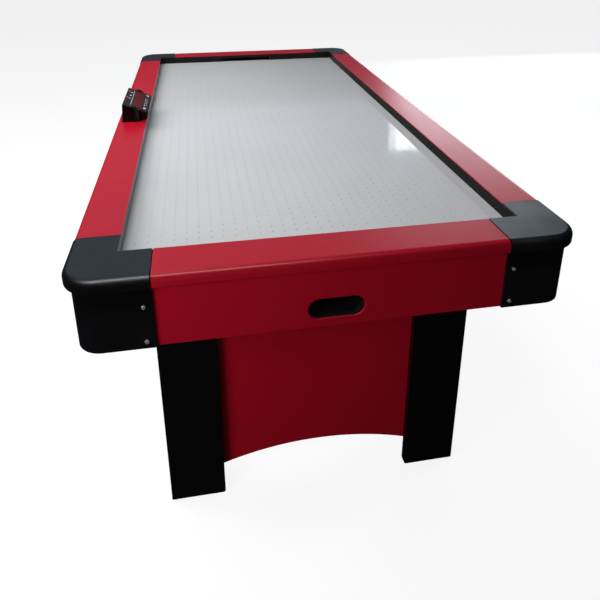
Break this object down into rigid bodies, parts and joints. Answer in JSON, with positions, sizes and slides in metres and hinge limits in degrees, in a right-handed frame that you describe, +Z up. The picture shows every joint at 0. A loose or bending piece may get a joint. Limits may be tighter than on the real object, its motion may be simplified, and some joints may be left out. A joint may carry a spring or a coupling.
{
  "type": "air hockey table",
  "caption": "Full-length air hockey table with laminated rails, moulded corner caps, a perforated gloss playfield, L-shaped legs with arched end panels and a rail-mounted electronic scorer.",
  "frame": {"origin": "centre of the footprint on the floor", "axes": "+Y along the table, from the end with the near goal to the far one; +X across the table, away from the scorer side; +Z up"},
  "size_m": [1.0564, 2.1364, 0.8593],
  "materials": {
    "red_laminate": "red laminated board, satin",
    "black_abs": "moulded, fine satin texture",
    "plain_timber": "raw board",
    "zinc_steel": "zinc plated",
    "white_laminate": "gloss white laminate on board",
    "black_wall": "semi-gloss strip",
    "black_laminate": "black laminated board, satin",
    "glide_plastic": "hard glide",
    "motor_paint": "black paint",
    "fan_plastic": "moulded",
    "scorer_face": "dark grey film",
    "smoked_red": "smoked red lens",
    "circuit_board": "solder mask",
    "silver_button": "bright",
    "red_lamp": "clear red lens",
    "switch_plastic": "moulded",
    "cable_jacket": "soft jacket"
  },
  "bodies": {
    "table": {"apron_front": "red_laminate", "apron_left": "red_laminate", "apron_rear": "red_laminate", "apron_right": "red_laminate", "blower_housing": "black_abs", "blower_motor": "motor_paint", "blower_screws": "zinc_steel", "cap_screws": "zinc_steel", "control_board": "circuit_board", "control_box": "black_abs", "corner_block_front_left": "plain_timber", "corner_block_front_right": "plain_timber", "corner_block_rear_left": "plain_timber", "corner_block_rear_right": "plain_timber", "corner_cap_front_left": "black_abs", "corner_cap_front_right": "black_abs", "corner_cap_rear_left": "black_abs", "corner_cap_rear_right": "black_abs", "display_board": "circuit_board", "display_window": "smoked_red", "end_panel_front": "red_laminate", "end_panel_rear": "red_laminate", "goal_sensors": "black_abs", "inlet_grille": "black_abs", "leg_beam_front": "plain_timber", "leg_beam_rear": "plain_timber", "leg_bolts": "zinc_steel", "leg_front_left": "black_laminate", "leg_front_right": "black_laminate", "leg_glides": "glide_plastic", "leg_rear_left": "black_laminate", "leg_rear_right": "black_laminate", "playfield": "white_laminate", "plenum_board": "plain_timber", "plenum_spacers": "plain_timber", "plenum_strip_front": "plain_timber", "plenum_strip_left": "plain_timber", "plenum_strip_rear": "plain_timber", "plenum_strip_right": "plain_timber", "power_inlet": "switch_plastic", "puck_chute_front": "black_abs", "puck_chute_rear": "black_abs", "rail_front": "red_laminate", "rail_left": "red_laminate", "rail_rear": "red_laminate", "rail_right": "red_laminate", "score_lamps": "red_lamp", "scorer_housing": "black_abs", "scorer_panel": "scorer_face", "wall_front": "black_wall", "wall_left": "black_wall", "wall_rear": "black_wall", "wall_right": "black_wall", "wiring": "cable_jacket", "wood_screws": "zinc_steel"},
    "impeller": {"impeller": "fan_plastic", "blower_shaft": "zinc_steel"},
    "button_near": {"button_near": "silver_button"},
    "button_far": {"button_far": "silver_button"},
    "power_rocker": {"power_rocker": "switch_plastic"}
  },
  "joints": [
    {"name": "impeller_spin", "type": "hinge", "parent": "table", "child": "impeller", "pos_m": [0, 0, 0.7], "axis": [0, 0, 1], "continuous": true},
    {"name": "button_near_press", "type": "slide", "parent": "table", "child": "button_near", "axis": [-0.387, 0, -0.9221], "range_m": [0, 0.0012], "stiffness_N_per_m": 400, "springref_m": -0.001},
    {"name": "button_far_press", "type": "slide", "parent": "table", "child": "button_far", "axis": [-0.387, 0, -0.9221], "range_m": [0, 0.0012], "stiffness_N_per_m": 400, "springref_m": -0.001},
    {"name": "power_rocker_tilt", "type": "hinge", "parent": "table", "child": "power_rocker", "pos_m": [-0.5, -0.15, 0.695], "axis": [0, 1, 0], "range_deg": [-16, 0]}
  ]
}
